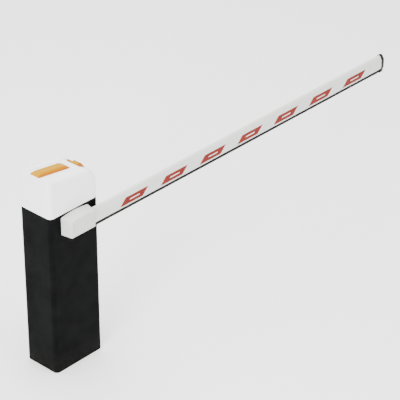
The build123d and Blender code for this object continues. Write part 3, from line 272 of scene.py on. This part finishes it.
paints = {
    "cabinetBlack": powderCoat("cabinetBlack", (0.0020, 0.0021, 0.0022), shine=0.014),
    "capWhite": mouldedPlastic("capWhite", (0.93, 0.93, 0.925), (0.91, 0.91, 0.905), 0.26, 0.36, coat=0.25),
    "coverGrey": mouldedPlastic("coverGrey", (0.56, 0.56, 0.545), (0.52, 0.52, 0.505), 0.34, 0.44,
                                depth=0.00006, shine=0.3),
    "lensAmber": amberLens("lensAmber"),
    "zinc": zincPlate("zinc"),
    "groundSteel": bareMetal("groundSteel", (0.56, 0.57, 0.58), (0.42, 0.43, 0.45), 0.18, 0.34, (1, 0.15, 1)),
    "castGrey": castMetal("castGrey", (0.50, 0.51, 0.52), (0.40, 0.41, 0.42)),
    "boomWhite": boomCoating("boomWhite"),
    "bronze": bareMetal("bronze", (0.70, 0.48, 0.20), (0.52, 0.33, 0.13), 0.24, 0.4),
    "rubber": softRubber("rubber", (0.0062, 0.0054, 0.0050), (0.0090, 0.0080, 0.0074)),
    "blackPlastic": mouldedPlastic("blackPlastic", (0.0085, 0.0068, 0.0060), (0.0110, 0.0090, 0.0080),
                                   0.36, 0.5, grain=0.0010, depth=0.0001, shine=0.12),
    "motorBlue": powderCoat("motorBlue", (0.055, 0.075, 0.10), dustHeight=-1.0),
    "copper": windingCopper("copper"),
    "board": circuitBoard("board"),
    "filmRed": reflectiveFilm("filmRed", (0.20, 0.012, 0.003), (0.14, 0.006, 0.002)),
    "filmWhite": reflectiveFilm("filmWhite", (0.80, 0.78, 0.74), (0.66, 0.64, 0.60)),
    "caseWhite": mouldedPlastic("caseWhite", (0.72, 0.72, 0.70), (0.62, 0.62, 0.60), 0.4, 0.5),
    "laminations": castMetal("laminations", (0.10, 0.085, 0.07), (0.06, 0.052, 0.045), 0.5),
    "knobRed": mouldedPlastic("knobRed", (0.50, 0.02, 0.012), (0.40, 0.015, 0.01), 0.3, 0.4),
    "springPaint": powderCoat("springPaint", (0.03, 0.03, 0.032), dustHeight=-1.0),
}
print("finishes made:", len(paints))

slotPaint = {
    "cabinet_paint": "cabinetBlack", "cap_plastic": "capWhite", "cover_plastic": "coverGrey",
    "lens_amber": "lensAmber", "zinc_steel": "zinc", "ground_steel": "groundSteel",
    "cast_housing": "castGrey", "boom_aluminium": "boomWhite", "bronze": "bronze",
    "black_rubber": "rubber", "black_plastic": "blackPlastic", "motor_paint": "motorBlue",
    "copper_core": "copper", "board_green": "board", "sticker_red": "filmRed",
    "capacitor_case": "caseWhite", "transformer_core": "laminations",
}
nodePaint = {"release_knob": "knobRed", "balance_spring": "springPaint"}
for subpart in frame["record"]["subparts"]:
    nodeName = subpart["node"]
    paint = nodePaint.get(nodeName) or slotPaint[subpart["material_slot"]]
    cadNode = frame["nodes"][nodeName]
    for materialSlot in cadNode.material_slots:
        materialSlot.material = paints[paint]
print("frame nodes painted")


# helpers for modelling by hand
def startBlock(name, low, high, material):
    bpy.ops.object.select_all(action="DESELECT")
    size = [top - bottom for bottom, top in zip(low, high)]
    middle = [(top + bottom) / 2 for bottom, top in zip(low, high)]
    bpy.ops.mesh.primitive_cube_add(size=1, location=middle, scale=size)
    piece = bpy.context.object
    piece.name = name
    bpy.ops.object.transform_apply(location=True, rotation=True, scale=True)
    piece.data.materials.append(paints[material])
    return piece


def edit(piece, mode="FACE"):
    bpy.ops.object.select_all(action="DESELECT")
    piece.select_set(True)
    bpy.context.view_layer.objects.active = piece
    bpy.ops.object.mode_set(mode="EDIT")
    bpy.ops.mesh.select_mode(type=mode)


def leave():
    bpy.ops.object.mode_set(mode="OBJECT")


def pick(piece, kind, test):
    # selects the faces, edges or vertices that pass the test and nothing else
    bpy.ops.mesh.select_all(action="DESELECT")
    mesh = bmesh.from_edit_mesh(piece.data)
    for part in getattr(mesh, kind):
        if test(part):
            part.select_set(True)
    mesh.select_flush_mode()
    bmesh.update_edit_mesh(piece.data)


def facing(direction, level=0.99):
    way = Vector(direction)
    return lambda face: face.normal.dot(way) > level


def growLayers(direction, layers, middle, across, width):
    # pulls the selected face out in steps of (distance, half width)
    way = Vector(direction)
    for distance, half in layers:
        bpy.ops.mesh.extrude_region_move(TRANSFORM_OT_translate={"value": way * distance})
        ratio = [half / width if letter in across else 1 for letter in "XYZ"]
        bpy.ops.transform.resize(value=ratio, center_override=middle)
        width = half
    return width


def isCorner(edge, degrees):
    return len(edge.link_faces) == 2 and edge.calc_face_angle() > math.radians(degrees)


def roundEdges(piece, test, width, segments):
    pick(piece, "edges", test)
    bpy.ops.mesh.bevel(offset=width, segments=segments, profile=0.5, clamp_overlap=True)


def apply(piece, kind, **settings):
    modifier = piece.modifiers.new(kind.title(), kind)
    for key, value in settings.items():
        setattr(modifier, key, value)
    bpy.context.view_layer.objects.active = piece
    bpy.ops.object.modifier_apply(modifier=modifier.name)


def settle(piece, body, slot, *nodes):
    # smooths a finished piece and says what it rides on and stands for
    bpy.ops.object.select_all(action="DESELECT")
    piece.select_set(True)
    bpy.context.view_layer.objects.active = piece
    bpy.ops.object.shade_smooth_by_angle(angle=math.radians(30))
    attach(piece, body)
    if nodes:
        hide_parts(*nodes)


def join(first, *others):
    bpy.ops.object.select_all(action="DESELECT")
    for piece in (first, *others):
        piece.select_set(True)
    bpy.context.view_layer.objects.active = first
    bpy.ops.object.join()
    return first



# boom: profile, edge rubber and end cap
boomLow, boomHigh = (Vector(corner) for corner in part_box("boom_profile"))
boom = {
    "foot": 0.0135, "side": (boomHigh.y - boomLow.y) / 2, "lowerBevel": 0.011, "upperBevel": 0.052,
    "height": boomHigh.z - boomLow.z, "shoulder": 0.010, "shoulderDrop": 0.006, "wall": 0.0022,
    "edgeRound": 0.0011, "middle": (boomLow.y + boomHigh.y) / 2, "roundBelow": 0.06, "crownSteps": 5,
}


def crownLayers(half, rise, steps, lastShare=0.35):
    # steps up a round top, from its shoulders to a narrow flat, lastShare of a step from the crest
    radius = (half * half + rise * rise) / (2 * rise)
    reach = math.asin(half / radius)
    before = rise
    layers = []
    for step in range(1, steps + 1):
        angle = reach * (1 - step / (steps + lastShare))
        drop = radius - radius * math.cos(angle)
        layers.append((before - drop, radius * math.sin(angle)))
        before = drop
    return layers


def boomBar(name, start, end, grow, material):
    # the boom's section drawn out between two places along it
    base = boomLow.z
    side = boom["side"] + grow
    low = (start, boom["middle"] - side, base + boom["lowerBevel"])
    high = (end, boom["middle"] + side, base + boom["upperBevel"])
    centre = Vector(((start + end) / 2, boom["middle"], base))
    bar = startBlock(name, low, high, material)
    edit(bar)
    shoulderRise = boom["height"] - boom["shoulderDrop"] - boom["upperBevel"]
    pick(bar, "faces", facing((0, 0, 1)))
    half = growLayers((0, 0, 1), [(shoulderRise, boom["shoulder"] + grow)], centre, "Y", side)
    crown = crownLayers(half, boom["shoulderDrop"] + grow, boom["crownSteps"])
    growLayers((0, 0, 1), crown, centre, "Y", half)
    pick(bar, "faces", facing((0, 0, -1)))
    growLayers((0, 0, -1), [(boom["lowerBevel"] + grow, boom["foot"] + grow)], centre, "Y", side)
    leave()
    return bar


profile = boomBar("boomProfile", boomLow.x, boomHigh.x, 0.0, "boomWhite")
edit(profile)
pick(profile, "faces", lambda face: abs(face.normal.x) > 0.9)
bpy.ops.mesh.delete(type="FACE")
roundEdges(profile, lambda edge: isCorner(edge, 15) and edge.verts[0].co.z < boomLow.z + boom["roundBelow"],
           boom["edgeRound"], 3)
leave()
apply(profile, "SOLIDIFY", thickness=boom["wall"], offset=-1.0, use_even_offset=True)
settle(profile, "boom", "boom_aluminium", "boom_profile")

rubberLow, rubberHigh = (Vector(corner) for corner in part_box("boom_edge_rubber"))
rubber = {
    "half": 0.013, "lip": 0.004, "foot": 0.010, "footRise": 0.004, "crownSteps": 5,
    "grooveDepth": 0.0012, "grooveSlope": 0.0008, "grooveFlat": 0.0012, "bodyStep": 0.0004,
}
strip = startBlock(
    "boomEdgeRubber",
    (rubberLow.x, boom["middle"] - rubber["half"], boomLow.z - rubber["lip"]),
    (rubberHigh.x, boom["middle"] + rubber["half"], boomLow.z),
    "rubber",
)
edit(strip)
pick(strip, "faces", facing((0, 0, -1)))
stripMiddle = Vector((0, boom["middle"], boomLow.z))
stripDepth = boomLow.z - rubberLow.z
grooveHalf = rubber["half"] - rubber["grooveDepth"]
grooveLayers = [(rubber["grooveSlope"], grooveHalf), (rubber["grooveFlat"], grooveHalf),
                (rubber["grooveSlope"], rubber["half"] - rubber["bodyStep"])]
halfNow = growLayers((0, 0, -1), grooveLayers, stripMiddle, "Y", rubber["half"])
grooveHeight = sum(distance for distance, half in grooveLayers)
sideDrop = stripDepth - rubber["lip"] - rubber["footRise"] - grooveHeight
halfNow = growLayers((0, 0, -1), [(sideDrop, rubber["foot"])], stripMiddle, "Y", halfNow)
footLayers = crownLayers(halfNow, rubber["footRise"], rubber["crownSteps"])
growLayers((0, 0, -1), footLayers, stripMiddle, "Y", halfNow)
leave()
settle(strip, "boom", "black_rubber", "boom_edge_rubber")

capLow, capHigh = (Vector(corner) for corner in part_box("boom_end_cap"))
endCap = {
    "side": 0.0217, "skirt": 0.014, "flatLow": 0.010, "flatHigh": 0.0525,  # heights from the boom's foot
    "upper": [(0.006, 0.0197), (0.006, 0.0166), (0.005, 0.0136)],  # (distance, half width) of each step up
    "lower": [(0.0055, 0.0196), (0.0055, 0.0172), (0.007, 0.0158), (0.010, 0.0140)],  # and of each step down
    "crownSteps": 6, "edge": 0.0022, "edgeSteps": 4, "inset": 0.0042, "dishSlope": 0.0009, "dish": 0.0014,
}
block = startBlock(
    "boomEndCap",
    (boomHigh.x - endCap["skirt"], boom["middle"] - endCap["side"], boomLow.z + endCap["flatLow"]),
    (capHigh.x - endCap["edge"], boom["middle"] + endCap["side"], boomLow.z + endCap["flatHigh"]),
    "blackPlastic",
)
edit(block)
capMiddle = Vector((capHigh.x, boom["middle"], boomLow.z))
pick(block, "faces", facing((0, 0, 1)))
halfNow = growLayers((0, 0, 1), endCap["upper"], capMiddle, "Y", endCap["side"])
upperHeight = sum(distance for distance, half in endCap["upper"])
topRise = capHigh.z - (boomLow.z + endCap["flatHigh"] + upperHeight)
growLayers((0, 0, 1), crownLayers(halfNow, topRise, endCap["crownSteps"]), capMiddle, "Y", halfNow)
pick(block, "faces", facing((0, 0, -1)))
halfNow = growLayers((0, 0, -1), endCap["lower"], capMiddle, "Y", endCap["side"])
lowerHeight = sum(distance for distance, half in endCap["lower"])
footRise = boomLow.z + endCap["flatLow"] - lowerHeight - capLow.z
growLayers((0, 0, -1), crownLayers(halfNow, footRise, endCap["crownSteps"]), capMiddle, "Y", halfNow)
pick(block, "faces", facing((1, 0, 0)))
for step in range(endCap["edgeSteps"]):
    now, after = (math.radians(90 * place / endCap["edgeSteps"]) for place in (step, step + 1))
    bpy.ops.mesh.inset(thickness=endCap["edge"] * (math.cos(now) - math.cos(after)),
                       depth=endCap["edge"] * (math.sin(after) - math.sin(now)))
bpy.ops.mesh.inset(thickness=endCap["inset"], depth=0)
bpy.ops.mesh.inset(thickness=endCap["dishSlope"], depth=-endCap["dish"])
leave()
settle(block, "boom", "black_plastic", "boom_end_cap")
print("boom made")


# plain bars printed on the reflectors
marks = {
    "half": 0.032, "thick": 0.005, "rise": 0.00015, "film": 0.0004,
    "firstGap": 0.165, "length": 0.150, "pitch": 0.270, "count": 7,
}
centreZ = boomLow.z + (boom["lowerBevel"] + boom["upperBevel"]) / 2
markBars = []
for side in (-1, 1):
    faceY = boom["middle"] + side * (boom["side"] + marks["film"])
    for number in range(marks["count"]):
        centreX = boomHigh.x - marks["firstGap"] - marks["length"] / 2 - number * marks["pitch"]
        low = (centreX - marks["half"], faceY - marks["rise"], centreZ - marks["thick"] / 2)
        high = (centreX + marks["half"], faceY + marks["rise"], centreZ + marks["thick"] / 2)
        bar = startBlock("stickerMark", low, high, "filmWhite")
        edit(bar)
        pick(bar, "verts", lambda vert: vert.co.z > centreZ)
        bpy.ops.transform.translate(value=(marks["thick"], 0, 0))
        leave()
        markBars.append(bar)
stickerMarks = join(*markBars)
stickerMarks.name = "stickerMarks"
settle(stickerMarks, "boom", "boom_aluminium")
print("sticker marks made")


# hub cover
hubLow, hubHigh = (Vector(corner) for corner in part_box("hub_cover"))
hub = {
    "frontHalf": 0.075, "sideTop": 0.829, "frontTop": 0.822, "wall": 0.003, "round": 0.005, "columns": 10,
    "gap": 0.0008, "wayInside": 0.006, "wayPast": 0.02, "wayClearance": 0.0006,
}
shell = startBlock("hubCover", hubLow, (hubHigh.x, hubHigh.y - hub["gap"], hub["sideTop"]), "coverGrey")
edit(shell)
pick(shell, "faces", facing((0, -1, 0)))
frontRatio = (hub["frontTop"] - hubLow.z) / (hub["sideTop"] - hubLow.z)
bpy.ops.transform.resize(value=(hub["frontHalf"] / hubHigh.x, 1, frontRatio),
                         center_override=(0, hubLow.y, hubLow.z))
hubDepth = hubHigh.y - hubLow.y
hubFlare = hubHigh.x - hub["frontHalf"]
shares = [2 * column / hub["columns"] - 1 for column in range(1, hub["columns"])]
for share in shares:
    way = Vector((hubDepth, -share * hubFlare, 0)).normalized()
    bpy.ops.mesh.select_all(action="SELECT")
    bpy.ops.mesh.bisect(plane_co=(share * hubHigh.x, hubHigh.y, 0), plane_no=way)


def onColumn(share, topOnly=0.8, near=0.002):
    # the top vertices on one of the cuts, which fan out from the front to the back
    def test(vert):
        half = hub["frontHalf"] + (vert.co.y - hubLow.y) / hubDepth * hubFlare
        return vert.co.z > topOnly and abs(vert.co.x - share * half) < near
    return test


for share in shares:
    pick(shell, "verts", onColumn(share))
    bpy.ops.transform.translate(value=(0, 0, (hubHigh.z - hub["sideTop"]) * (1 - share * share)))
pick(shell, "faces", facing((0, 1, 0)))
bpy.ops.mesh.delete(type="FACE")
roundEdges(shell, lambda edge: isCorner(edge, 40), hub["round"], 5)
leave()
apply(shell, "SOLIDIFY", thickness=hub["wall"], offset=-1.0, use_even_offset=True)
cutter = boomBar("boomWay", hub["frontHalf"] - hub["wayInside"], hubHigh.x + hub["wayPast"],
                 hub["wayClearance"], "coverGrey")
apply(shell, "BOOLEAN", object=cutter, operation="DIFFERENCE", solver="EXACT")
bpy.data.objects.remove(cutter)
settle(shell, "boom", "cover_plastic", "hub_cover")
print("hub cover made")


# lenses
lens = {
    "length": 0.194, "width": 0.059, "rise": 0.015, "base": 0.0035, "corner": 0.006, "round": 0.0034,
    "crestLength": 0.146, "crestWidth": 0.040, "shift": -0.006,
    "slope": math.radians(8.157), "middle": -0.046, "foot": 1.01856,
}
lensCorner = Vector((lens["length"] / 2, lens["width"] / 2, 0))
bar = startBlock("lensTop", -lensCorner, lensCorner + Vector((0, 0, lens["base"])), "lensAmber")
edit(bar)
roundEdges(bar, lambda edge: abs(edge.verts[0].co.z - edge.verts[1].co.z) > lens["base"] / 2,
           lens["corner"], 4)
pick(bar, "faces", facing((0, 0, 1)))
crest = (lens["shift"], 0, lens["rise"] - lens["base"])
bpy.ops.mesh.extrude_region_move(TRANSFORM_OT_translate={"value": crest})
bpy.ops.transform.resize(value=(lens["crestLength"] / lens["length"], lens["crestWidth"] / lens["width"], 1),
                         center_override=(lens["shift"], 0, 0))
pick(bar, "faces", facing((0, 0, 1)))
bpy.ops.mesh.region_to_loop()
bpy.ops.mesh.bevel(offset=lens["round"], segments=4, profile=0.5)
leave()
bar.location = (lens["middle"], 0, lens["foot"])
bar.rotation_euler = (0, lens["slope"], 0)
bpy.ops.object.transform_apply(location=True, rotation=True, scale=True)
settle(bar, "cap", "lens_amber", "lens_top")

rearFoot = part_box("lens_rear")[0][2]
rear = {"centreX": 0.072, "centreZ": 0.92638, "inner": 0.0748, "steps": 14, "tipShare": 0.72, "round": 0.0012}
rearFlange = {
    "outer": 0.080, "half": 0.047, "outerHalf": 0.0455,
    "low": rearFoot, "startAngle": 22, "tip": 0.0045,
}
rearBump = {
    "outer": 0.088, "half": 0.023, "outerHalf": 0.017,
    "low": rearFoot + 0.010, "startAngle": 32, "tip": 0.0085,
}


def roundLens(name, outer, half, outerHalf, low, startAngle, tip):
    # a bar that climbs the back of the cap and bends over its round corner
    centre = Vector((rear["centreX"], 0, rear["centreZ"]))
    middle = (centre.x + (rear["inner"] + outer) / 2, 0, centre.z)
    bpy.ops.object.select_all(action="DESELECT")
    bpy.ops.mesh.primitive_plane_add(size=1, location=middle)
    piece = bpy.context.object
    piece.name = name
    bpy.ops.object.transform_apply(location=True, rotation=True, scale=True)
    piece.data.materials.append(paints["lensAmber"])
    edit(piece, "EDGE")
    bpy.ops.transform.resize(value=(outer - rear["inner"], 2 * half, 1), center_override=middle)
    pick(piece, "edges", lambda edge: min(vert.co.x for vert in edge.verts) > middle[0])
    bpy.ops.transform.resize(value=(1, outerHalf / half, 1), center_override=middle)
    bpy.ops.mesh.select_mode(type="FACE")
    bpy.ops.mesh.select_all(action="SELECT")
    start = math.radians(startAngle)
    bpy.ops.mesh.spin(steps=rear["steps"], angle=math.radians(90) - start, center=centre, axis=(0, 1, 0))
    along = Vector((-math.cos(start), 0, math.sin(start)))
    foot = centre + rear["inner"] * Vector((math.sin(start), 0, math.cos(start)))
    bpy.ops.mesh.extrude_region_move(TRANSFORM_OT_translate={"value": along * tip})
    bpy.ops.transform.resize(value=[rear["tipShare"]] * 3, center_override=foot + along * tip)
    pick(piece, "faces", lambda face: abs(face.calc_center_median().z - centre.z) < 1e-5)
    bpy.ops.mesh.extrude_region_move(TRANSFORM_OT_translate={"value": (0, 0, low - centre.z)})
    bpy.ops.mesh.select_all(action="SELECT")
    bpy.ops.mesh.remove_doubles(threshold=1e-6)
    bpy.ops.mesh.normals_make_consistent(inside=False)
    leave()
    apply(piece, "BEVEL", width=rear["round"], segments=3, limit_method="ANGLE", angle_limit=math.radians(35))
    return piece


lensRear = join(roundLens("lensRear", **rearFlange), roundLens("lensRearBump", **rearBump))
lensRear.name = "lensRear"
settle(lensRear, "cap", "lens_amber", "lens_rear")
print("lenses made")


# studio
studio = {
    "floorSize": 40.0, "floorDrop": 0.0005, "floorTone": (0.93, 0.93, 0.93), "floorShade": (0.8, 0.8, 0.8),
    "world": 0.95, "target": Vector((0.6, 0, 0.6)),
}
bpy.ops.object.select_all(action="DESELECT")
bpy.ops.mesh.primitive_plane_add(size=studio["floorSize"], location=(0, 0, -studio["floorDrop"]))
floor = bpy.context.object
floor.name = "studioFloor"
floorLook = Finish("studioFloor", Roughness=0.85)
floorLook.colour(floorLook.blend(floorLook.noise(0.8, 2) * 0.04, studio["floorTone"], studio["floorShade"]))
floor.data.materials.append(floorLook.material)

lamps = {
    "above": {"spot": (0.8, 0.2, 7.5), "size": 8.0, "power": 1500},
    "key": {"spot": (-6.0, -2.2, 3.6), "size": 3.0, "power": 800},
    "side": {"spot": (1.5, -6.5, 2.6), "size": 4.0, "power": 160},
    "back": {"spot": (3.5, 5.0, 5.0), "size": 5.0, "power": 200},
}
for lampName, lamp in lamps.items():
    bpy.ops.object.light_add(type="AREA", location=lamp["spot"])
    light = bpy.context.object
    light.name = lampName
    light.data.size = lamp["size"]
    light.data.energy = lamp["power"]
    light.rotation_euler = (studio["target"] - Vector(lamp["spot"])).to_track_quat("-Z", "Y").to_euler()
world = bpy.data.worlds.new("studio")
bpy.context.scene.world = world
world.use_nodes = True
world.node_tree.nodes["Background"].inputs[0].default_value = (1, 1, 1, 1)
world.node_tree.nodes["Background"].inputs[1].default_value = studio["world"]

camera = {
    "spot": (-5.317, -5.789, 5.516), "azimuth": 47.268, "elevation": 30.801,
    "lens": 180.0, "sensor": 36, "far": 100,
}
bpy.ops.object.camera_add(location=camera["spot"])
eye = bpy.context.object
turn, dip = math.radians(camera["azimuth"]), math.radians(camera["elevation"])
ahead = Vector((math.sin(turn) * math.cos(dip), math.cos(turn) * math.cos(dip), -math.sin(dip)))
eye.rotation_euler = ahead.to_track_quat("-Z", "Y").to_euler()
eye.data.lens = camera["lens"]
eye.data.sensor_width = camera["sensor"]
eye.data.clip_end = camera["far"]
bpy.context.scene.camera = eye
print("studio set")
